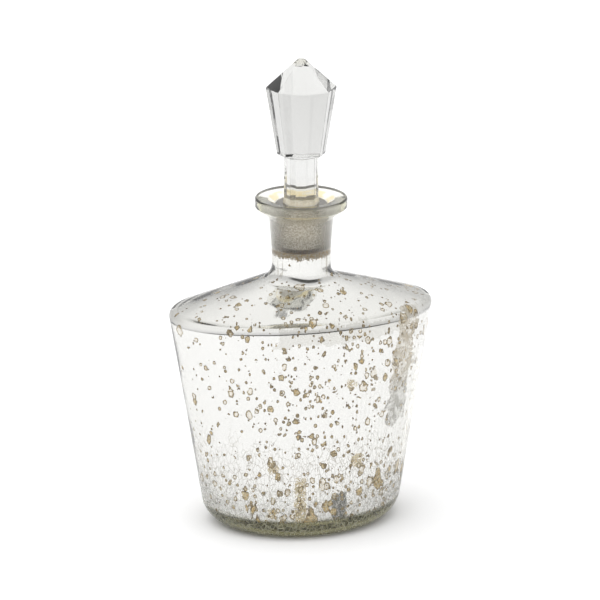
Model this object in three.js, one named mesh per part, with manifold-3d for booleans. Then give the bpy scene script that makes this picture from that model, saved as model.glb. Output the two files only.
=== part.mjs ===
// A silvered-glass perfume bottle with a cut-glass stopper, in millimetres, +Z up.
// The origin is the middle of the flat foot. The body is oval in plan, long along X and shallow along Y;
// the neck, the lip and the stopper's ground plug are round about Z.
import * as THREE from "three";
import { mergeVertices } from "three/addons/utils/BufferGeometryUtils.js";
import Module from "manifold-3d";

// ---- Driving dimensions ----

// The blown body: straight sides that widen from a rounded heel to a rounded shoulder rim.
const footHalfLength = 45; // where the side would meet the foot if the heel were sharp
const footHalfDepth = 37;
const rimHalfLength = 62.4; // where the side would meet the shoulder if the rim were sharp
const rimHalfDepth = 34.6;
const rimHeight = 103.4;
const heelRadius = 13;
const rimFilletRadius = 3.5;
const planFullness = 2.1; // 2 is an ellipse, and more is a blunter oval

// The neck and its flared lip.
const shoulderRise = 13.9; // from the rim to where the shoulder would meet the neck with no fillet
const neckLength = 36.7; // from there to the top of the lip
const neckWall = 1.6; // outside the wide end of the ground joint
const neckFilletRadius = 6;
const neckTopFlare = 1.2; // the neck opens by this much under the lip
const neckWaistRise = 12; // the neck is narrowest this far above its foot
const lipOverhang = 7.5; // beyond the neck
const lipThickness = 4.6; // at its edge
const lipUnderDrop = 4.2; // the lip's underside falls by this much from its edge to the neck
const lipRounding = 1;
const lipDish = 0.9; // the lip's top face falls by this much from its edge to the mouth
const mouthFlare = 2.8; // beyond the wide end of the ground joint
const mouthRounding = 0.4;

// The glass wall.
const wallThickness = 2.8;
const floorThickness = 8.5;
const innerHeelRadius = 4.5;
const innerRimFilletRadius = 3;
const innerShoulderDrop = 1.05; // the inner rim lies this many walls below the outer one
const innerNeckDrop = 0.85; // and the inner foot of the neck this many below the outer one

// The ground joint: a cone cut in the neck, and the plug that seats in it.
const seatRadius = 12;
const seatLength = 20;
const seatDepth = 3; // the plug's top face lies this far under the lip's edge
const seatTaper = 0.1; // on the diameter
const boreStep = 0.3; // the plain bore below the joint is this much narrower than its narrow end
const seatClearance = 0.12;
const plugEndClearance = 0.8; // the plug stops this far above the end of the cone
const plugEndRadius = 1;
const groundBevel = 0.5; // at the top of the cone, at its foot and round the plug's top

// The coats on the inside of the wall: a silver film, and the lacquer that backs it.
const coatGap = 0.3;
const silverThickness = 0.3;
const lacquerThickness = 0.3;
const coatTopClearance = 1.2; // the coats stop this far below the ground joint

// The stopper's cut head: an eight-sided tapering prism under an eight-sided point.
const headSides = 8;
const headTurn = 33.5 * Math.PI / 180; // the stopper sits eleven degrees from square to the bottle
const headGirdleRadius = 16.1; // across the corners, where it is widest
const headFootRadius = 11;
const headPointRadius = 1.6; // of the small flat left at the point
const headLength = 31; // from its foot to the girdle
const pointLength = 13;
const headUndercut = 1; // the head's foot is bevelled back to the shank over this height
const shankRadius = 7.9; // across the corners
const shankLength = 23; // from the plug's top to the head's foot
const shankFootFlare = 0.5;
const shankFootHeight = 0.6; // the flared foot of the shank stands this far above the plug

const roundSegments = 48;
const filletSteps = 4;
const sideSteps = 3;
const shoulderSteps = 4;

// Heights and radii that follow from them.
const neckFootHeight = rimHeight + shoulderRise;
const lipHeight = neckFootHeight + neckLength;
const lipUnderHeight = lipHeight - lipThickness;
const seatTopHeight = lipHeight - seatDepth;
const seatFootHeight = seatTopHeight - seatLength;
const coatTopHeight = seatFootHeight - coatTopClearance;
const headFootHeight = seatTopHeight + shankLength;
const headGirdleHeight = headFootHeight + headLength;
const headPointHeight = headGirdleHeight + pointLength;
const neckRadius = seatRadius + neckWall;
const lipRadius = neckRadius + lipOverhang;
const mouthRadius = seatRadius + mouthFlare;
const seatFootRadius = seatRadius - (seatLength * seatTaper) / 2;
const neckBoreRadius = seatFootRadius - boreStep;

// ---- Levels: the outline of a turned wall, one ring at a time ----

// A ring of half-length a along X, half-depth b along Y, at height z, drawn to that fullness of oval.
const ring = (a, b, z, fullness = 2) => ({ a, b, z, fullness });
const circle = (radius, z) => ring(radius, radius, z);
const onAxis = (z) => circle(0, z);

// The ring at weighted shares of others.
function mixed(rings, weights) {
  const total = weights.reduce((sum, weight) => sum + weight, 0);
  const mix = (key) => rings.reduce((sum, at, i) => sum + at[key] * weights[i], 0) / total;
  return ring(mix("a"), mix("b"), mix("z"), mix("fullness"));
}

const between = (from, to, share) => mixed([from, to], [1 - share, share]);

// The rings strictly between two others, evenly spaced.
function steps(from, to, count) {
  return Array.from({ length: count - 1 }, (_, i) => between(from, to, (i + 1) / count));
}

// An arc that rounds the corner between two straight runs. It is struck on the half-lengths, as a quadratic
// curve weighted to be a true circle there, and the half-depths take the same shares.
function fillet(before, corner, after, radius) {
  const point = (at) => new THREE.Vector2(at.a, at.z);
  const inRun = point(before).sub(point(corner));
  const outRun = point(after).sub(point(corner));
  const halfAngle = Math.abs(inRun.angleTo(outRun)) / 2;
  const setBack = radius / Math.tan(halfAngle);
  const start = between(corner, before, setBack / inRun.length());
  const end = between(corner, after, setBack / outRun.length());
  return Array.from({ length: filletSteps + 1 }, (_, i) => {
    const t = i / filletSteps;
    return mixed([start, corner, end], [(1 - t) ** 2, 2 * t * (1 - t) * Math.sin(halfAngle), t ** 2]);
  });
}

// A closed solid from rings that start and end on the axis: a lathe of the half-lengths, with each of its
// circles then drawn to its own oval.
function turnedSolid(rings) {
  const outline = rings.map((at) => new THREE.Vector2(at.a, at.z));
  const geometry = new THREE.LatheGeometry(outline, roundSegments);
  const place = geometry.attributes.position;
  const drawn = (share, fullness) => Math.sign(share) * Math.abs(share) ** (2 / fullness);
  for (let i = 0; i < place.count; i++) {
    const { a, b, fullness } = rings[i % rings.length];
    if (a === 0) continue;
    place.setX(i, a * drawn(place.getX(i) / a, fullness));
    place.setZ(i, b * drawn(place.getZ(i) / a, fullness));
  }
  return geometry.rotateX(Math.PI / 2);
}

// ---- The bottle: one piece of blown glass ----

// Foot, heel, side, rim, shoulder and the start of the neck, from the axis up. The outer face has no inset,
// and each face inside it is the same shape, inset from it.
function bodyRings(inset, neck, heel, rimFillet, neckFillet) {
  const floor = inset === 0 ? 0 : floorThickness + inset - wallThickness;
  const share = floor / rimHeight;
  const foot = ring(
    THREE.MathUtils.lerp(footHalfLength, rimHalfLength, share) - inset,
    THREE.MathUtils.lerp(footHalfDepth, rimHalfDepth, share) - inset,
    floor,
    planFullness,
  );
  const rim = ring(
    rimHalfLength - inset,
    rimHalfDepth - inset,
    rimHeight - innerShoulderDrop * inset,
    planFullness,
  );
  const neckFoot = circle(neck, neckFootHeight - innerNeckDrop * inset);
  const middle = onAxis(floor);
  const heelArc = fillet(middle, foot, rim, heel);
  const rimArc = fillet(foot, rim, neckFoot, rimFillet);
  const neckArc = fillet(rim, neckFoot, circle(neck, neckFoot.z + neckWaistRise), neckFillet);
  return [
    middle,
    ...heelArc,
    ...steps(heelArc.at(-1), rimArc[0], sideSteps),
    ...rimArc,
    ...steps(rimArc.at(-1), neckArc[0], shoulderSteps),
    ...neckArc,
  ];
}

// The inside of the wall, or a face a little further in.
function insideRings(further) {
  return bodyRings(
    wallThickness + further,
    neckBoreRadius - further,
    innerHeelRadius,
    innerRimFilletRadius,
    neckFilletRadius + innerNeckDrop * wallThickness,
  );
}

// The waisted neck and the lip, up to the lip's top edge.
function neckAndLipRings() {
  const waist = circle(neckRadius, neckFootHeight + neckWaistRise);
  const top = circle(neckRadius + neckTopFlare, lipUnderHeight - lipUnderDrop - lipRounding);
  const middle = between(waist, top, 0.6);
  return [
    waist,
    circle(middle.a - 0.2 * neckTopFlare, middle.z),
    top,
    circle(top.a + lipRounding / 2, top.z + lipRounding),
    circle(lipRadius - lipRounding, lipUnderHeight),
    circle(lipRadius - 0.3 * lipRounding, lipUnderHeight + 0.3 * lipRounding),
    circle(lipRadius, lipUnderHeight + lipRounding),
    circle(lipRadius, lipHeight - lipRounding),
    circle(lipRadius - 0.3 * lipRounding, lipHeight - 0.3 * lipRounding),
    circle(lipRadius - lipRounding, lipHeight),
  ];
}

// The dished mouth and the ground cone below it, down to the plain bore.
function mouthAndSeatRings() {
  return [
    circle(mouthRadius + mouthRounding, lipHeight - lipDish),
    circle(mouthRadius, lipHeight - lipDish - mouthRounding),
    circle(seatRadius + groundBevel, seatTopHeight + groundBevel),
    circle(seatRadius, seatTopHeight),
    circle(seatFootRadius, seatFootHeight),
    circle(neckBoreRadius, seatFootHeight - groundBevel),
  ];
}

function bottleGlass() {
  return turnedSolid([
    ...bodyRings(0, neckRadius, heelRadius, rimFilletRadius, neckFilletRadius),
    ...neckAndLipRings(),
    ...mouthAndSeatRings(),
    ...insideRings(0).reverse(),
  ]);
}

// ---- The coats inside it, each a thin cup with its mouth in the neck ----

function coat(depth, thickness) {
  const face = (further) => [...insideRings(further), circle(neckBoreRadius - further, coatTopHeight)];
  return turnedSolid([...face(depth), ...face(depth + thickness).reverse()]);
}

const silverDepth = coatGap;
const lacquerDepth = silverDepth + silverThickness + coatGap;

// ---- The stopper: one piece of cut glass ----

// The cut head and its shank. Their lathe has one segment for each side.
function stopperHead() {
  const outline = [
    [0, seatTopHeight - shankFootHeight],
    [shankRadius + shankFootFlare, seatTopHeight - shankFootHeight],
    [shankRadius + shankFootFlare, seatTopHeight + shankFootHeight],
    [shankRadius, seatTopHeight + shankFootHeight + 4 * shankFootFlare],
    [shankRadius, headFootHeight - headUndercut],
    [headFootRadius, headFootHeight],
    [headGirdleRadius, headGirdleHeight],
    [headPointRadius, headPointHeight],
    [0, headPointHeight],
  ].map(([radius, height]) => new THREE.Vector2(radius, height));
  return new THREE.LatheGeometry(outline, headSides, headTurn).rotateX(Math.PI / 2);
}

// The ground plug, parallel to the cone that it seats in.
function stopperPlug() {
  const radiusAt = (height) => seatRadius - seatClearance - ((seatTopHeight - height) * seatTaper) / 2;
  const plugRing = (height, rounding) => circle(radiusAt(height) - rounding, height);
  const end = seatFootHeight + plugEndClearance;
  return turnedSolid([
    onAxis(end),
    plugRing(end, plugEndRadius),
    plugRing(end + 0.3 * plugEndRadius, 0.3 * plugEndRadius),
    plugRing(end + plugEndRadius, 0),
    plugRing(seatTopHeight - groundBevel, 0),
    plugRing(seatTopHeight, groundBevel),
    onAxis(seatTopHeight),
  ]);
}

const wasm = await Module();
wasm.setup();

// A closed geometry as a manifold-3d solid.
function solid(geometry) {
  const bare = geometry.clone();
  bare.deleteAttribute("normal");
  bare.deleteAttribute("uv");
  const merged = mergeVertices(bare);
  return new wasm.Manifold(
    new wasm.Mesh({
      numProp: 3,
      vertProperties: merged.attributes.position.array,
      triVerts: new Uint32Array(merged.index.array),
    }),
  );
}

function joined(a, b) {
  const mesh = solid(a).add(solid(b)).getMesh();
  return new THREE.BufferGeometry()
    .setAttribute("position", new THREE.BufferAttribute(mesh.vertProperties, 3))
    .setIndex(new THREE.BufferAttribute(mesh.triVerts, 1));
}

// ---- The assembly ----

const clearGlass = new THREE.MeshStandardMaterial({ color: 0xe4e8e0, roughness: 0.03, metalness: 0 });
clearGlass.transparent = true;
clearGlass.opacity = 0.35;
const silver = new THREE.MeshStandardMaterial({ color: 0xe9e8e6, roughness: 0.08, metalness: 1 });
const lacquer = new THREE.MeshStandardMaterial({ color: 0xa8874f, roughness: 0.45, metalness: 0 });

const bottle = new THREE.Group();
const stopper = new THREE.Group();

function place(group, name, geometry, material) {
  const mesh = new THREE.Mesh(geometry, material);
  mesh.name = name;
  group.add(mesh);
}

place(bottle, "bottle_glass", bottleGlass(), clearGlass);
place(bottle, "silver_film", coat(silverDepth, silverThickness), silver);
place(bottle, "backing_lacquer", coat(lacquerDepth, lacquerThickness), lacquer);
place(stopper, "stopper", joined(stopperHead(), stopperPlug()), clearGlass);

export default new THREE.Group().add(bottle, stopper);
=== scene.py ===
# A silvered, crackled glass perfume bottle with a cut-glass stopper, on a pale floor in soft light.
import math

import bpy
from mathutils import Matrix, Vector


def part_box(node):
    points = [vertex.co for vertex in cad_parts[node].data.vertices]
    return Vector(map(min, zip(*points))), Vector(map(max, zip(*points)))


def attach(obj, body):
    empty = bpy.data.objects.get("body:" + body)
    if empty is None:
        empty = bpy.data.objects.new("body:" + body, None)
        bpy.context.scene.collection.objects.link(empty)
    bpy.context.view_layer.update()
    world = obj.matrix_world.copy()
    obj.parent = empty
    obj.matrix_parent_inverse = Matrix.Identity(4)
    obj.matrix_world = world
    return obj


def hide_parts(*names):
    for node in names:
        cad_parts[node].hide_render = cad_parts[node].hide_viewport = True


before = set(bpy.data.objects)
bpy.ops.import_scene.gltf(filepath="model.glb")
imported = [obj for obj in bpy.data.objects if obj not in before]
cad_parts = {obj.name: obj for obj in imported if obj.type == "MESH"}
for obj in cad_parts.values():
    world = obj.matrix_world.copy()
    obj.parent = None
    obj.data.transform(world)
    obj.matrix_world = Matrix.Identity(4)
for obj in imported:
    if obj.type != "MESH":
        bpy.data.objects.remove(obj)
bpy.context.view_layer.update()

MM = 0.001

# ---- Sizes ----

# From the frame: the lip, the top of the coats and the stopper's point.
lip_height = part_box("bottle_glass")[1].z
coat_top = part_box("silver_film")[1].z
point_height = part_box("stopper")[1].z

# The body's outline: half-lengths along X, half-depths along Y.
foot_half_length = 45 * MM
foot_half_depth = 37 * MM
rim_half_length = 62.4 * MM
rim_half_depth = 34.6 * MM
rim_height = 103.4 * MM
heel_radius = 13 * MM
rim_radius = 3.5 * MM
neck_radius = 13.6 * MM
neck_foot_height = 117.3 * MM
neck_fillet = 6 * MM
waist_rise = 12 * MM
neck_flare = 1.2 * MM

# The lip, the mouth and the ground seat.
lip_radius = 21.1 * MM
lip_thickness = 4.6 * MM
lip_under_drop = 4.2 * MM
lip_round = 1 * MM
lip_dish = 0.9 * MM
mouth_radius = 14.8 * MM
mouth_round = 0.4 * MM
seat_depth = 3 * MM
seat_radius = 12 * MM
seat_length = 20 * MM
seat_taper = 0.1
bore_step = 0.3 * MM

# The wall.
wall = 2.8 * MM
floor_thickness = 8.5 * MM
inner_heel_radius = 2.2 * MM
inner_rim_radius = 3 * MM
inner_neck_fillet = 8.4 * MM
inner_rim_drop = 1.05
inner_neck_drop = 0.85

# The silver clings to the wall, a hair into it, and the lacquer backs it.
silver_inset = -0.05 * MM
lacquer_inset = 0.5 * MM
coat_thickness = 0.2 * MM

# The stopper.
head_sides = 8
head_turn = math.radians(33.5)
girdle_radius = 16.1 * MM
head_foot_radius = 11 * MM
flat_point_radius = 1.6 * MM
girdle_height = point_height - 13 * MM
head_foot_height = girdle_height - 31 * MM
head_undercut = 1 * MM
shank_radius = 7.9 * MM
shank_flare = 0.5 * MM
shank_foot = 0.6 * MM
shank_fillet = 2 * MM
shank_root = 5 * MM
facet_edge = 0.22 * MM
seat_clearance = 0.12 * MM
plug_end_clearance = 0.8 * MM
plug_end_round = 1 * MM
ground_bevel = 0.5 * MM

# The clear thick foot of the glass.
clear_foot_top = 10.5 * MM

# Marks on the silver: round worn patches by their middle and radius, then upright patches on the front by
# their left, right, foot and top: a worn drip, then a streak, a grey band under the rim and a dark patch,
# which are painted reflections.
worn_patches = [
    (14.7 * MM, -34 * MM, 72.8 * MM, 4.2 * MM),
    (-43 * MM, -18 * MM, 17 * MM, 3.8 * MM),
    (-32 * MM, -28 * MM, 16 * MM, 3.6 * MM),
    (-23 * MM, -31 * MM, 13 * MM, 3.2 * MM),
    (17 * MM, -31 * MM, 36 * MM, 3.8 * MM),
    (-22 * MM, -31 * MM, 35 * MM, 3.2 * MM),
]
drip_box = (-12 * MM, -8 * MM, 0.0, 30 * MM)
reflection_streak_box = (24.5 * MM, 34 * MM, 50 * MM, 101 * MM)
rim_reflection_box = (-34 * MM, 26 * MM, rim_height - 10 * MM, rim_height - 3 * MM)
dark_reflection_box = (5 * MM, 11 * MM, 10 * MM, 21 * MM)
patch_edge = 0.8 * MM

seat_top = lip_height - seat_depth
seat_foot = seat_top - seat_length
seat_foot_radius = seat_radius - seat_length * seat_taper / 2
bore_radius = seat_foot_radius - bore_step

# How finely the round forms are drawn, and below which angle an edge of the stopper is smooth.
ring_points = 144
plug_points = 96
arc_steps = 8
facet_smooth_angle = 12


# ---- Outlines ----

def ring(half_length, half_depth, height, radius=0.0):
    """One corner of an outline: the oval that the wall passes through, and how round the corner is."""
    return {"a": half_length, "b": half_depth, "z": height, "radius": radius}


def circle(size, height, radius=0.0):
    return ring(size, size, height, radius)


def blend_of(rings, weights):
    total = sum(weights)
    return {key: sum(r[key] * w for r, w in zip(rings, weights)) / total for key in "abz"}


def rounded(before, corner, after):
    """The rings of an arc round a corner, with a guard ring on the straight run at each side."""
    arms = [
        Vector((other["a"] - corner["a"], other["z"] - corner["z"]))
        for other in (before, after)
    ]
    half = arms[0].angle(arms[1]) / 2
    set_back = corner["radius"] / math.tan(half)
    guard = set_back + min(0.4 * MM, corner["radius"] / 4)
    near = [set_back / arm.length for arm in arms]
    far = [guard / arm.length for arm in arms]
    first = blend_of([corner, before], [1 - near[0], near[0]])
    last = blend_of([corner, after], [1 - near[1], near[1]])
    rings = [blend_of([corner, before], [1 - far[0], far[0]])]
    for i in range(arc_steps + 1):
        t = i / arc_steps
        weights = [(1 - t) ** 2, 2 * t * (1 - t) * math.sin(half), t ** 2]
        rings.append(blend_of([first, corner, last], weights))
    rings.append(blend_of([corner, after], [1 - far[1], far[1]]))
    return rings


def outline(corners):
    """All the rings of a wall: its corners, with the round ones turned into arcs."""
    rings = []
    for i, corner in enumerate(corners):
        if corner["radius"] > 0:
            rings += rounded(corners[i - 1], corner, corners[i + 1])
        else:
            rings.append(corner)
    return rings


def body_corners():
    """The outside of the body and the neck, from the middle of the foot up to the lip."""
    guard = foot_half_length - heel_radius * 1.4
    neck_top = lip_height - lip_thickness - lip_under_drop
    return [
        ring(guard, guard * foot_half_depth / foot_half_length, 0),
        ring(foot_half_length, foot_half_depth, 0, heel_radius),
        ring(rim_half_length, rim_half_depth, rim_height, rim_radius),
        circle(neck_radius, neck_foot_height, neck_fillet),
        circle(neck_radius, neck_foot_height + waist_rise, waist_rise),
        circle(neck_radius + neck_flare, neck_top - lip_round),
        circle(neck_radius + neck_flare + lip_round / 2, neck_top),
    ]


def lip_corners():
    """The flared lip, over its top and down the mouth and the ground seat to the bore."""
    under = lip_height - lip_thickness
    return [
        circle(lip_radius, under, lip_round),
        circle(lip_radius, lip_height, lip_round),
        circle(mouth_radius + mouth_round, lip_height - lip_dish, mouth_round),
        circle(seat_radius + ground_bevel, seat_top + ground_bevel),
        circle(seat_radius, seat_top),
        circle(seat_foot_radius, seat_foot),
        circle(bore_radius, seat_foot - ground_bevel),
    ]


def inside_corners(inset, top):
    """The inside of the body, or a surface at that inset from it, from the top down to the floor."""
    rise = floor_thickness / rim_height
    foot_length = foot_half_length + (rim_half_length - foot_half_length) * rise - wall - inset
    foot_depth = foot_half_depth + (rim_half_depth - foot_half_depth) * rise - wall - inset
    depth = wall + inset
    guard = 1 - 1.5 * inner_heel_radius / foot_length
    return [
        circle(bore_radius - inset, top),
        circle(bore_radius - inset, neck_foot_height - inner_neck_drop * depth, inner_neck_fillet + inset),
        ring(rim_half_length - depth, rim_half_depth - depth, rim_height - inner_rim_drop * depth,
             inner_rim_radius - inset),
        ring(foot_length, foot_depth, floor_thickness + inset, inner_heel_radius - inset),
        ring(foot_length * guard, foot_depth * guard, floor_thickness + inset),
    ]


# ---- Modelling by hand ----

def add(primitive, name, **settings):
    """Adds a primitive with nothing else selected, names it and opens it for editing."""
    bpy.ops.object.select_all(action="DESELECT")
    primitive(**settings)
    piece = bpy.context.object
    piece.name = name
    piece.data.name = name
    bpy.ops.object.mode_set(mode="EDIT")
    bpy.ops.mesh.select_all(action="SELECT")
    return piece


def shape(here, there):
    """Scales the selected ring from the size of one ring of an outline to that of another."""
    bpy.ops.transform.resize(
        value=(there["a"] / here["a"], there["b"] / here["b"], 1),
        center_override=(0, 0, there["z"]),
    )


def grow(rings):
    """Extrudes the selected ring through the rings that follow it."""
    for here, there in zip(rings, rings[1:]):
        bpy.ops.mesh.extrude_region_move(TRANSFORM_OT_translate={"value": (0, 0, there["z"] - here["z"])})
        shape(here, there)


def cap():
    """Closes the selected ring with a fan."""
    bpy.ops.mesh.edge_face_add()
    bpy.ops.mesh.poke()


def finish_piece(piece, smooth_angle):
    """Closes the edit with one skin whose faces point outwards and whose place is in the mesh."""
    bpy.ops.mesh.select_all(action="SELECT")
    bpy.ops.mesh.remove_doubles(threshold=0.001 * MM)
    bpy.ops.mesh.normals_make_consistent(inside=False)
    bpy.ops.object.mode_set(mode="OBJECT")
    bpy.ops.object.transform_apply(location=True, rotation=True, scale=True)
    bpy.ops.object.shade_smooth_by_angle(angle=math.radians(smooth_angle))
    return piece


def turned(name, rings, points=ring_points, smooth_angle=50, **settings):
    """A closed solid grown ring by ring, from a fan on the axis to a fan on the axis."""
    start = circle(1, rings[0]["z"])
    piece = add(
        bpy.ops.mesh.primitive_circle_add,
        name,
        vertices=points,
        radius=start["a"],
        location=(0, 0, start["z"]),
        fill_type="TRIFAN",
        **settings,
    )
    shape(start, rings[0])
    bpy.ops.mesh.region_to_loop()
    grow(rings)
    cap()
    return finish_piece(piece, smooth_angle)


def dress(piece, material, node, body):
    """Gives a piece its material, its place in the frame and the body that it moves with."""
    piece.data.materials.clear()
    piece.data.materials.append(material)
    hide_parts(node)
    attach(piece, body)


# ---- Pieces ----

def make_bottle():
    rings = outline(body_corners() + lip_corners() + inside_corners(0, seat_foot - 2 * ground_bevel))
    return turned("blown_bottle", rings)


def make_coat(name, inset):
    """A thin closed coat that follows the inside of the body at that inset, up to the coats' top."""
    outer = list(reversed(outline(inside_corners(inset, coat_top))))
    inner = outline(inside_corners(inset + coat_thickness, coat_top))
    return turned(name, outer + inner)


def make_plug():
    """The ground plug, a cone that fits the seat."""
    top = seat_radius - seat_clearance
    foot_height = seat_foot + plug_end_clearance
    foot = top - (seat_top - foot_height) * seat_taper / 2
    rings = outline([
        circle(foot - 2 * plug_end_round, foot_height),
        circle(foot, foot_height, plug_end_round),
        circle(top, seat_top - ground_bevel),
        circle(top - ground_bevel, seat_top),
        circle(shank_radius, seat_top),
    ])
    return turned("ground_plug", rings, points=plug_points, smooth_angle=30)


def make_stopper():
    """The cut head on its shank, with bevelled facet edges, joined to the plug."""
    plug = make_plug()
    rings = [
        circle(shank_radius + shank_flare, seat_top - shank_root),
        circle(shank_radius + shank_flare, seat_top + shank_foot),
        circle(shank_radius, seat_top + shank_foot + shank_fillet),
        circle(shank_radius, head_foot_height - head_undercut),
        circle(head_foot_radius, head_foot_height),
        circle(girdle_radius, girdle_height),
        circle(flat_point_radius, point_height),
    ]
    piece = add(
        bpy.ops.mesh.primitive_circle_add,
        "cut_stopper",
        vertices=head_sides,
        radius=rings[0]["a"],
        location=(0, 0, rings[0]["z"]),
        rotation=(0, 0, head_turn),
        fill_type="NGON",
    )
    bpy.ops.mesh.region_to_loop()
    grow(rings)
    bpy.ops.mesh.edge_face_add()
    bpy.ops.mesh.select_all(action="SELECT")
    bpy.ops.mesh.normals_make_consistent(inside=False)
    bpy.ops.mesh.select_all(action="DESELECT")
    bpy.ops.mesh.edges_select_sharp(sharpness=math.radians(8))
    bpy.ops.mesh.bevel(offset=facet_edge, segments=2, affect="EDGES", clamp_overlap=True)
    finish_piece(piece, facet_smooth_angle)
    union = piece.modifiers.new("joined to the plug", "BOOLEAN")
    union.operation = "UNION"
    union.solver = "EXACT"
    union.object = plug
    bpy.ops.object.modifier_apply(modifier=union.name)
    bpy.data.objects.remove(plug)
    bpy.ops.object.shade_smooth_by_angle(angle=math.radians(facet_smooth_angle))
    return piece


# ---- Node tools ----

def put(tree, kind, inputs=None, **settings):
    """Adds a shader node. inputs maps a socket's name or number to a value or to what feeds it."""
    made = tree.nodes.new("ShaderNode" + kind)
    for key, value in settings.items():
        setattr(made, key, value)
    fill(tree, made, inputs or {})
    return made


def fill(tree, made, inputs):
    """Links or sets a node's sockets."""
    for key, value in inputs.items():
        if isinstance(value, bpy.types.NodeSocket):
            tree.links.new(value, made.inputs[key])
        else:
            made.inputs[key].default_value = value


def maths(tree, operation, *values):
    return put(tree, "Math", dict(enumerate(values)), operation=operation, use_clamp=False).outputs[0]


def times(tree, first, *others):
    for other in others:
        first = maths(tree, "MULTIPLY", first, other)
    return first


def most(tree, first, *others):
    """The largest of the values."""
    for other in others:
        first = maths(tree, "MAXIMUM", first, other)
    return first


def vector(tree, operation, *values):
    """One step of vector maths. Its outputs are named Vector and Value."""
    return put(tree, "VectorMath", dict(enumerate(values)), operation=operation).outputs


def axes_of(tree, place):
    """The three numbers of a place, along X, Y and Z."""
    return put(tree, "SeparateXYZ", {0: place}).outputs


def from_axis(tree, place):
    """How far a place is from the bottle's axis."""
    flat = vector(tree, "MULTIPLY", place, (1, 1, 0))["Vector"]
    return vector(tree, "LENGTH", flat)["Value"]


def fade(tree, value, start, end, low=0.0, high=1.0):
    """low where the value is at start, high where it is at end, smooth between them."""
    inputs = {"Value": value, "From Min": start, "From Max": end, "To Min": low, "To Max": high}
    return put(tree, "MapRange", inputs, interpolation_type="SMOOTHSTEP").outputs["Result"]


def paint(tree, amount, under, over):
    """One colour over another, by an amount."""
    return put(tree, "Mix", {0: amount, 6: under, 7: over}, data_type="RGBA").outputs[2]


def noise(tree, place, scale, detail=2.0, roughness=0.5):
    inputs = {"Vector": place, "Scale": scale, "Detail": detail, "Roughness": roughness}
    return put(tree, "TexNoise", inputs).outputs


def cells(tree, place, scale, feature):
    return put(tree, "TexVoronoi", {"Vector": place, "Scale": scale}, feature=feature).outputs


def stretched(tree, place, rise):
    """The same place with its height multiplied, so that a pattern is longer upwards where rise is small."""
    return put(tree, "Mapping", {"Vector": place, "Scale": (1.0, 1.0, rise)}).outputs["Vector"]


def colour(red, green, blue):
    return (red, green, blue, 1.0)


def group(name, inputs, outputs):
    """A node group with its named inputs and outputs, and the nodes that hold them."""
    tree = bpy.data.node_groups.new(name, "ShaderNodeTree")
    for label, value in inputs.items():
        kind = "NodeSocketVector" if value is None else "NodeSocketFloat"
        socket = tree.interface.new_socket(label, in_out="INPUT", socket_type=kind)
        if value is not None:
            socket.default_value = value
    for label in outputs:
        tree.interface.new_socket(label, in_out="OUTPUT", socket_type="NodeSocketFloat")
    way_in = tree.nodes.new("NodeGroupInput").outputs
    way_out = tree.nodes.new("NodeGroupOutput").inputs
    return tree, way_in, way_out


def use(tree, shared, inputs):
    """Places a shared group in a material, with its own values."""
    made = tree.nodes.new("ShaderNodeGroup")
    made.node_tree = shared
    fill(tree, made, inputs)
    return made.outputs


def material(name):
    """A new material with its Principled shader, and the place on the piece."""
    made = bpy.data.materials.new(name)
    made.use_nodes = True
    tree = made.node_tree
    shader = tree.nodes["Principled BSDF"]
    place = put(tree, "TexCoord").outputs["Object"]
    return made, tree, shader, place


def feed(tree, shader, **inputs):
    """Sets the shader's sockets or links what feeds them. Underscores stand for spaces."""
    fill(tree, shader, {key.replace("_", " "): value for key, value in inputs.items()})


def bumped(tree, strength, distance, surface):
    inputs = {"Strength": strength, "Distance": distance, "Height": surface}
    return put(tree, "Bump", inputs).outputs["Normal"]


def tinted_depth(tree, tint, density):
    """Glass that colours the light more, the further the light goes through it."""
    depth = put(tree, "VolumeAbsorption", {"Color": tint, "Density": density})
    tree.links.new(depth.outputs[0], tree.nodes["Material Output"].inputs["Volume"])


# ---- Shared effects ----

def shifted(tree, place, amount, scale, detail):
    """The same place pushed about by noise, by a share of the cells' size, so that edges are ragged."""
    push = noise(tree, place, times(tree, scale, detail), 2.0)["Color"]
    centred = vector(tree, "SUBTRACT", push, (0.5, 0.5, 0.5))["Vector"]
    reach = maths(tree, "DIVIDE", amount, scale)
    moved = put(tree, "VectorMath", {0: centred, 3: reach}, operation="SCALE").outputs[0]
    return vector(tree, "ADD", place, moved)["Vector"]


def crackle_group():
    """Fine cracks between cells that each lean their own way, fading out over some patches."""
    tree, way_in, way_out = group(
        "crackle",
        {"Place": None, "Cells": 300.0, "Width": 0.06, "Wander": 0.3, "Cover": 0.5},
        ["Crack", "Facet"],
    )
    place = shifted(tree, way_in["Place"], way_in["Wander"], way_in["Cells"], 0.7)
    edge = cells(tree, place, way_in["Cells"], "DISTANCE_TO_EDGE")["Distance"]
    line = fade(tree, edge, way_in["Width"], 0.0)
    patches = noise(tree, way_in["Place"], times(tree, way_in["Cells"], 0.35), 2.0)["Fac"]
    level = maths(tree, "SUBTRACT", 1.0, way_in["Cover"])
    start = maths(tree, "SUBTRACT", level, 0.06)
    end = maths(tree, "ADD", level, 0.06)
    shown = fade(tree, patches, start, end)
    tree.links.new(times(tree, line, shown), way_out["Crack"])

    cell = cells(tree, place, way_in["Cells"], "F1")
    lean = vector(tree, "SUBTRACT", cell["Color"], (0.5, 0.5, 0.5))["Vector"]
    off = vector(tree, "SUBTRACT", place, cell["Position"])["Vector"]
    tilt = vector(tree, "DOT_PRODUCT", lean, off)["Value"]
    tree.links.new(times(tree, tilt, way_in["Cells"]), way_out["Facet"])
    return tree


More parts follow.
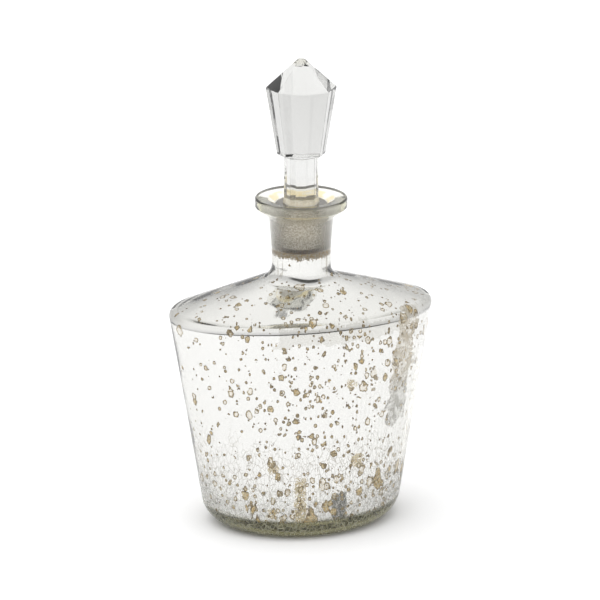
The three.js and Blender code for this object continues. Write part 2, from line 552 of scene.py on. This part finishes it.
def spots_group():
    """Ragged round spots, at most one to a cell, each with its ring, and some with an open middle."""
    tree, way_in, way_out = group(
        "spots",
        {"Place": None, "Cells": 150.0, "Share": 0.5, "Smallest": 0.1, "Largest": 0.4,
         "Ring": 0.07, "Ragged": 0.25, "Hollow": 0.5},
        ["Spot", "Ring"],
    )
    place = shifted(tree, way_in["Place"], way_in["Ragged"], way_in["Cells"], 2.2)
    cell = cells(tree, place, way_in["Cells"], "F1")
    chance = put(tree, "SeparateColor", {0: cell["Color"]}).outputs
    shown = maths(tree, "LESS_THAN", chance[0], way_in["Share"])
    size = maths(tree, "POWER", chance[1], 1.6)
    spread = maths(tree, "SUBTRACT", way_in["Largest"], way_in["Smallest"])
    radius = maths(tree, "MULTIPLY_ADD", size, spread, way_in["Smallest"])
    inside = maths(tree, "SUBTRACT", radius, cell["Distance"])
    spot = times(tree, fade(tree, inside, 0.0, 0.03), shown)
    edge = maths(tree, "ABSOLUTE", maths(tree, "MULTIPLY_ADD", way_in["Ring"], -0.5, inside))
    band = fade(tree, edge, way_in["Ring"], times(tree, way_in["Ring"], 0.3))
    open_middle = maths(tree, "LESS_THAN", chance[2], way_in["Hollow"])
    core = fade(tree, inside, times(tree, way_in["Ring"], 1.2), times(tree, way_in["Ring"], 2.2))
    gap = times(tree, core, open_middle, 0.8)
    tree.links.new(times(tree, spot, maths(tree, "SUBTRACT", 1.0, gap)), way_out["Spot"])
    tree.links.new(times(tree, band, shown), way_out["Ring"])
    return tree


def handling_group():
    """Faint smears and hairline scratches, for the roughness of polished glass."""
    tree, way_in, way_out = group("handling", {"Place": None, "Smears": 45.0, "Scratches": 900.0}, ["Mark"])
    smears = noise(tree, way_in["Place"], way_in["Smears"], 4.0, 0.6)["Fac"]
    hairs = noise(tree, stretched(tree, way_in["Place"], 0.06), way_in["Scratches"], 1.0)["Fac"]
    smeared = fade(tree, smears, 0.48, 0.72)
    scratched = times(tree, fade(tree, hairs, 0.70, 0.76), 0.6)
    tree.links.new(most(tree, smeared, scratched), way_out["Mark"])
    return tree


def ground_group():
    """Where a joint is ground: a band round the axis between two heights, ragged at its lower edge."""
    tree, way_in, way_out = group(
        "ground",
        {"Place": None, "Bottom": 130 * MM, "Top": 150 * MM, "Reach": 12.8 * MM},
        ["Ground", "Grain", "Edge"],
    )
    height = axes_of(tree, way_in["Place"])[2]
    streaks = noise(tree, stretched(tree, way_in["Place"], 0.45), 1100.0, 3.0, 0.7)["Fac"]
    lowest = maths(tree, "SUBTRACT", way_in["Bottom"], 2.5 * MM)
    ragged = maths(tree, "MULTIPLY_ADD", streaks, 5 * MM, lowest)
    rise = maths(tree, "SUBTRACT", height, ragged)
    above = fade(tree, rise, -0.3 * MM, 0.3 * MM)
    below = fade(tree, height, way_in["Top"], maths(tree, "SUBTRACT", way_in["Top"], 0.3 * MM))
    near = maths(tree, "LESS_THAN", from_axis(tree, way_in["Place"]), way_in["Reach"])
    band = times(tree, above, below, near)
    tree.links.new(band, way_out["Ground"])
    grain = noise(tree, way_in["Place"], 1700.0, 2.0, 0.7)["Fac"]
    tree.links.new(fade(tree, grain, 0.38, 0.60), way_out["Grain"])
    tree.links.new(times(tree, band, fade(tree, rise, 4 * MM, 0.0)), way_out["Edge"])
    return tree


crackle = crackle_group()
spots = spots_group()
handling = handling_group()
ground = ground_group()


# ---- Materials ----

ground_light = colour(1.0, 0.98, 0.94)


def crackled_glass():
    """Clear glass with an olive depth, crackled low down, ground in the seat and gilt round the mouth."""
    made, tree, shader, place = material("crackled bottle glass")
    height = axes_of(tree, place)[2]
    low = fade(tree, height, 45 * MM, 12 * MM)
    foot = fade(tree, height, clear_foot_top, clear_foot_top - 3 * MM)
    shards = use(tree, crackle, {
        "Place": stretched(tree, place, 0.7),
        "Cells": 460.0,
        "Width": 0.055,
        "Wander": 0.6,
        "Cover": fade(tree, height, 40 * MM, 8 * MM, 0.15, 0.95),
    })
    cracked = times(tree, shards["Crack"], low)
    joint = use(tree, ground, {
        "Place": place,
        "Bottom": seat_foot - 2 * MM,
        "Top": seat_top,
        "Reach": seat_radius + 0.6 * MM,
    })
    grit = times(tree, joint["Ground"], joint["Grain"])

    # Worn gilding on the slope of the mouth.
    slope = fade(tree, height, seat_top - 0.2 * MM, seat_top + 0.2 * MM)
    mouth = times(tree, slope, fade(tree, from_axis(tree, place), mouth_radius + 0.8 * MM, mouth_radius))
    worn = fade(tree, noise(tree, place, 160.0, 3.0)["Fac"], 0.40, 0.56)
    gilt = times(tree, mouth, worn)

    olive = paint(tree, foot, colour(0.985, 0.985, 0.98), colour(0.49, 0.485, 0.375))
    clear = paint(tree, cracked, olive, colour(1.0, 1.0, 0.97))
    taupe = paint(tree, joint["Grain"], colour(0.42, 0.38, 0.30), ground_light)
    golden = times(tree, joint["Edge"], joint["Grain"])
    speckled = paint(tree, golden, taupe, colour(0.62, 0.42, 0.15))
    base = paint(tree, joint["Ground"], clear, speckled)
    base = paint(tree, gilt, base, colour(0.92, 0.74, 0.38))

    marks = use(tree, handling, {"Place": place})["Mark"]
    polished = maths(tree, "MULTIPLY_ADD", marks, 0.025, 0.012)
    frosted = times(tree, most(tree, joint["Ground"], times(tree, gilt, 0.8)), 0.5)
    rough = most(tree, polished, times(tree, cracked, 0.9), frosted)

    ripples = noise(tree, stretched(tree, place, 0.6), 55.0, 1.0)["Fac"]
    grooved = maths(tree, "MULTIPLY_ADD", cracked, -0.3, ripples)
    surface = maths(tree, "MULTIPLY_ADD", grit, 0.1, grooved)
    broken = times(tree, shards["Facet"], foot, 0.25)
    normal = bumped(tree, 0.45, 0.6 * MM, maths(tree, "ADD", surface, broken))

    # The cracks in the foot glow a little: painted light, an emission that stands in for light scattered by
    # the cracks.
    crack_glow = paint(tree, times(tree, shards["Crack"], foot), colour(0, 0, 0), colour(0.17, 0.17, 0.14))
    feed(tree, shader, Base_Color=base, Roughness=rough, Normal=normal,
         Transmission_Weight=1.0, IOR=1.5, Emission_Color=crack_glow, Emission_Strength=1.0)
    tinted_depth(tree, colour(0.80, 0.79, 0.69), 60.0)
    return made


def inside_box(tree, axes, box):
    """A soft upright patch on the front, with its left, its right, its foot and its top."""
    left, right, foot, top = box
    past_left = fade(tree, axes[0], left - patch_edge, left)
    before_right = fade(tree, axes[0], right + patch_edge, right)
    above_foot = fade(tree, axes[2], foot - patch_edge, foot)
    below_top = fade(tree, axes[2], top + patch_edge, top)
    front = fade(tree, axes[1], 0.0, -4 * MM)
    return times(tree, past_left, before_right, above_foot, below_top, front)


def spot_layers(tree, place, axes):
    """Spots in four sizes, most crowded in the middle and at the wide end, with hardly any on the neck."""
    drift = noise(tree, place, 30.0, 2.0)["Fac"]
    side = fade(tree, axes[0], -60 * MM, -5 * MM, 0.25, 1.0)
    middle = fade(tree, axes[2], 110 * MM, 90 * MM, 0.45, 1.0)
    patchy = fade(tree, drift, 0.36, 0.55, 0.45, 1.0)
    neck = fade(tree, axes[2], neck_foot_height + 1 * MM, neck_foot_height - 3 * MM, 0.03, 1.0)
    crowd = times(tree, side, middle, patchy, neck)
    upright = stretched(tree, place, 0.8)
    fine = {
        "Place": upright, "Cells": 430.0, "Share": times(tree, crowd, 1.25),
        "Smallest": 0.08, "Largest": 0.42, "Ring": 0.09, "Hollow": 0.7,
    }
    small = {
        "Place": upright, "Cells": 270.0, "Share": times(tree, crowd, 1.1),
        "Smallest": 0.12, "Largest": 0.44, "Ring": 0.065, "Ragged": 0.5, "Hollow": 0.65,
    }
    medium = {
        "Place": upright, "Cells": 170.0, "Share": times(tree, crowd, 0.6),
        "Smallest": 0.10, "Largest": 0.40, "Ring": 0.045, "Ragged": 0.6, "Hollow": 0.75,
    }
    tall = {
        "Place": stretched(tree, place, 0.5), "Cells": 125.0,
        "Share": fade(tree, axes[2], 55 * MM, 15 * MM, 0.0, 0.6),
        "Smallest": 0.15, "Largest": 0.48, "Ring": 0.05, "Ragged": 0.9, "Hollow": 0.4,
    }
    layers = [use(tree, spots, layer) for layer in (fine, small, medium, tall)]
    bare = most(tree, *[layer["Spot"] for layer in layers])
    rings = most(tree, *[layer["Ring"] for layer in layers])
    return bare, rings


def flaked(tree, ragged, grain):
    """The larger worn patches and the drip, each a crowd of small flakes."""
    flakes = []
    for across, deep, high, size in worn_patches:
        away = vector(tree, "DISTANCE", ragged, (across, deep, high))["Value"]
        flakes.append(times(tree, fade(tree, away, size, size * 0.7), fade(tree, grain, 0.60, 0.50)))
    drip = inside_box(tree, axes_of(tree, ragged), drip_box)
    flakes.append(times(tree, drip, fade(tree, grain, 0.57, 0.50)))
    return most(tree, *flakes)


def spotted_silver():
    """A mirror with bare spots that show the tan backing, dark tarnish round them, and cracks below."""
    made, tree, shader, place = material("spotted silvering")
    axes = axes_of(tree, place)
    height = axes[2]
    ragged = shifted(tree, place, 0.8, 260.0, 2.2)
    grain = noise(tree, place, 1300.0, 3.0, 0.65)["Fac"]
    mottle = fade(tree, grain, 0.42, 0.56)
    bare, rings = spot_layers(tree, place, axes)
    bare = most(tree, bare, flaked(tree, ragged, grain))

    # What the spots show: lacquer seen through broken silver, and the tarnish round it.
    fine_cracks = {"Place": place, "Cells": 1000.0, "Width": 0.14, "Wander": 0.6, "Cover": 1.0}
    broken = use(tree, crackle, fine_cracks)["Crack"]
    tarnish = paint(tree, mottle, colour(0.36, 0.26, 0.12), colour(0.15, 0.11, 0.06))
    backing = paint(tree, mottle, colour(1.0, 0.92, 0.70), colour(0.88, 0.63, 0.28))
    backing = paint(tree, times(tree, broken, 0.7), backing, tarnish)

    # Upright crazing in two sizes, closer towards the foot.
    crazing = {
        "Place": stretched(tree, place, 0.45),
        "Wander": 0.8,
        "Cover": fade(tree, height, 70 * MM, 15 * MM, 0.25, 0.8),
    }
    wide = use(tree, crackle, {**crazing, "Cells": 260.0, "Width": 0.030})
    close = use(tree, crackle, {**crazing, "Cells": 620.0, "Width": 0.06})
    low = fade(tree, height, 70 * MM, 30 * MM)
    crazed = times(tree, most(tree, wide["Crack"], close["Crack"]), low)

    # A painted reflection: an upright streak towards the wide end, speckled tan like worn silver at the top
    # and grey below.
    wander = maths(tree, "MULTIPLY_ADD", noise(tree, place, 120.0, 4.0, 0.65)["Fac"], 12 * MM, -6 * MM)
    lean = maths(tree, "MULTIPLY_ADD", height, -0.15, axes[0])
    wavering_place = [maths(tree, "ADD", lean, wander), axes[1], maths(tree, "ADD", height, wander)]
    cloud = noise(tree, place, 260.0, 4.0, 0.7)["Fac"]
    reflection_streak = times(tree, inside_box(tree, wavering_place, reflection_streak_box), fade(tree, cloud, 0.35, 0.60, 0.25, 0.75))
    speckle = paint(tree, mottle, colour(0.60, 0.54, 0.42), colour(0.40, 0.32, 0.20))
    worn = paint(tree, fade(tree, height, 62 * MM, 78 * MM), colour(0.34, 0.33, 0.29), speckle)

    # A grey band under the rim and one dark patch near the foot, both painted reflections, and fine upright
    # lines on the neck.
    rim_reflection_band = times(tree, inside_box(tree, wavering_place, rim_reflection_box), 0.6)
    uncracked = fade(tree, close["Crack"], 0.5, 0.0, 0.35, 0.9)
    dark_reflection = times(tree, inside_box(tree, axes_of(tree, ragged), dark_reflection_box), uncracked)
    threads = noise(tree, stretched(tree, place, 0.05), 420.0, 2.0, 0.6)["Fac"]
    on_neck = times(tree, fade(tree, height, neck_foot_height - 2 * MM, neck_foot_height + 3 * MM), 0.55)
    lines = times(tree, fade(tree, threads, 0.60, 0.68), on_neck)

    # The ragged top of the coat, where it meets the ground seat.
    fray = noise(tree, stretched(tree, place, 0.45), 1100.0, 3.0, 0.7)["Fac"]
    frayed_height = maths(tree, "MULTIPLY_ADD", fray, 7 * MM, height)
    frayed = fade(tree, frayed_height, coat_top + 0.2 * MM, coat_top + 1.0 * MM)
    taupe = paint(tree, mottle, colour(0.50, 0.46, 0.39), colour(0.40, 0.28, 0.13))

    # Painted reflections in the silver's colour: the grey band under the rim, the dark patch near the foot
    # and the streak.
    base = paint(tree, rim_reflection_band, colour(0.80, 0.80, 0.81), colour(0.60, 0.59, 0.57))
    base = paint(tree, times(tree, crazed, 0.75), base, colour(0.40, 0.37, 0.33))
    base = paint(tree, lines, base, colour(0.30, 0.27, 0.21))
    base = paint(tree, dark_reflection, base, colour(0.12, 0.12, 0.11))
    base = paint(tree, reflection_streak, base, worn)
    base = paint(tree, bare, base, backing)
    base = paint(tree, times(tree, rings, 0.9), base, tarnish)
    base = paint(tree, frayed, base, taupe)

    milky = fade(tree, height, 22 * MM, 12 * MM, 0.0, 0.25)
    spotted = times(tree, most(tree, bare, rings), 0.7)
    dull = most(tree, spotted, frayed, most(tree, milky, times(tree, reflection_streak, 0.5)))
    rough = maths(tree, "MULTIPLY_ADD", dull, 0.45, 0.035)
    blown = noise(tree, stretched(tree, place, 0.7), 34.0, 2.0, 0.45)["Fac"]
    leaning = times(tree, close["Facet"], low, 0.05)
    normal = bumped(tree, 0.5, 1.2 * MM, maths(tree, "ADD", blown, leaning))
    metal = maths(tree, "SUBTRACT", 1.0, dull)
    feed(tree, shader, Base_Color=base, Metallic=metal, Roughness=rough, Normal=normal)
    return made


def amber_lacquer():
    """The backing lacquer: brushed amber brown, thinner and lighter in patches."""
    made, tree, shader, place = material("amber backing lacquer")
    flow = noise(tree, stretched(tree, place, 0.4), 60.0, 4.0, 0.6)["Fac"]
    grain = noise(tree, place, 700.0, 2.0)["Fac"]
    base = paint(tree, fade(tree, flow, 0.35, 0.68), colour(0.30, 0.18, 0.08), colour(0.56, 0.38, 0.18))
    rough = maths(tree, "MULTIPLY_ADD", flow, 0.3, 0.3)
    feed(tree, shader, Base_Color=base, Roughness=rough, Normal=bumped(tree, 0.3, 0.2 * MM, grain))
    return made


def cut_glass():
    """Colourless cut glass, polished on its facets and ground on the plug."""
    made, tree, shader, place = material("cut stopper glass")
    height = axes_of(tree, place)[2]
    joint = use(tree, ground, {
        "Place": place,
        "Bottom": seat_foot,
        "Top": seat_top - 0.2 * MM,
        "Reach": seat_radius + 1 * MM,
    })
    dusty = paint(tree, joint["Grain"], colour(0.62, 0.56, 0.46), ground_light)
    base = paint(tree, joint["Ground"], colour(0.72, 0.72, 0.71), dusty)
    tip = fade(tree, height, point_height - 3 * MM, point_height - 1 * MM)
    base = paint(tree, tip, base, colour(0.62, 0.60, 0.52))

    # A faint yellow tint round the foot of the shank.
    upper = fade(tree, height, seat_top + 7 * MM, seat_top + 2 * MM)
    lower = fade(tree, height, seat_top, seat_top + 0.5 * MM)
    base = paint(tree, times(tree, upper, lower, 0.5), base, colour(0.90, 0.80, 0.55))

    marks = use(tree, handling, {"Place": place})["Mark"]
    polished = maths(tree, "MULTIPLY_ADD", marks, 0.02, 0.008)
    rough = most(tree, polished, times(tree, joint["Ground"], 0.45))
    soft = noise(tree, place, 120.0, 1.0)["Fac"]
    grit = maths(tree, "MULTIPLY_ADD", times(tree, joint["Ground"], joint["Grain"]), 0.5, soft)
    feed(tree, shader, Base_Color=base, Roughness=rough, Normal=bumped(tree, 0.12, 0.1 * MM, grit),
         Transmission_Weight=1.0, IOR=1.53)
    tinted_depth(tree, colour(0.80, 0.80, 0.78), 12.0)
    return made


dress(make_bottle(), crackled_glass(), "bottle_glass", "bottle")
dress(make_coat("silvering", silver_inset), spotted_silver(), "silver_film", "bottle")
dress(make_coat("lacquer_backing", lacquer_inset), amber_lacquer(), "backing_lacquer", "bottle")
dress(make_stopper(), cut_glass(), "stopper", "stopper")


# ---- Floor, light and camera ----

def make_floor():
    floor = add(bpy.ops.mesh.primitive_plane_add, "paper_floor", size=24, location=(0, 0, -0.05 * MM))
    bpy.ops.mesh.subdivide(number_cuts=4)
    finish_piece(floor, 30)
    made, tree, shader, place = material("white paper")
    tooth = noise(tree, place, 600.0, 2.0)["Fac"]
    base = paint(tree, tooth, colour(0.96, 0.96, 0.96), colour(0.98, 0.98, 0.98))
    feed(tree, shader, Base_Color=base, Roughness=0.9, Specular_IOR_Level=0.2)
    floor.data.materials.append(made)


def make_world():
    """A white room, with a grey band above the horizon on the camera's side."""
    world = bpy.data.worlds.new("white room")
    bpy.context.scene.world = world
    world.use_nodes = True
    tree = world.node_tree
    way = put(tree, "TexCoord").outputs["Generated"]
    axes = axes_of(tree, way)
    front = fade(tree, axes[1], -0.2, -0.75)
    low = times(tree, fade(tree, axes[2], 0.0, 0.02), fade(tree, axes[2], 0.24, 0.16))
    band = times(tree, low, front)
    shade = paint(tree, band, colour(1.0, 1.0, 1.0), colour(0.08, 0.08, 0.075))
    background = tree.nodes["Background"]
    tree.links.new(shade, background.inputs["Color"])
    tree.links.new(fade(tree, axes[2], 0.2, 0.9, 0.80, 1.22), background.inputs["Strength"])


def make_light():
    """A large soft box above the bottle. It lights the floor and is not mirrored in the silver."""
    place = Vector((-0.6, -0.1, 2.0))
    target = Vector((0, 0, 0.1))
    light = bpy.data.lights.new("top box", "AREA")
    light.shape = "SQUARE"
    light.size = 2.6
    light.energy = 18
    holder = bpy.data.objects.new("top box", light)
    bpy.context.scene.collection.objects.link(holder)
    holder.location = place
    holder.rotation_euler = (target - place).to_track_quat("-Z", "Y").to_euler()
    holder.visible_glossy = False
    holder.visible_transmission = False


def make_camera():
    """A long lens, from a little to the left and above."""
    distance = 1.65
    azimuth = math.radians(-16)
    elevation = math.radians(17.1)
    target = Vector((0, 0, 0.110))
    back = Vector((
        math.sin(azimuth) * math.cos(elevation),
        -math.cos(azimuth) * math.cos(elevation),
        math.sin(elevation),
    ))
    camera = bpy.data.cameras.new("camera")
    camera.sensor_width = 36
    camera.lens = 216
    camera.shift_x = -0.002
    camera.shift_y = -0.0193
    holder = bpy.data.objects.new("camera", camera)
    bpy.context.scene.collection.objects.link(holder)
    holder.location = target + distance * back
    holder.rotation_euler = (-back).to_track_quat("-Z", "Y").to_euler()
    bpy.context.scene.camera = holder


make_floor()
make_world()
make_light()
make_camera()
bpy.context.scene.view_settings.view_transform = "Standard"
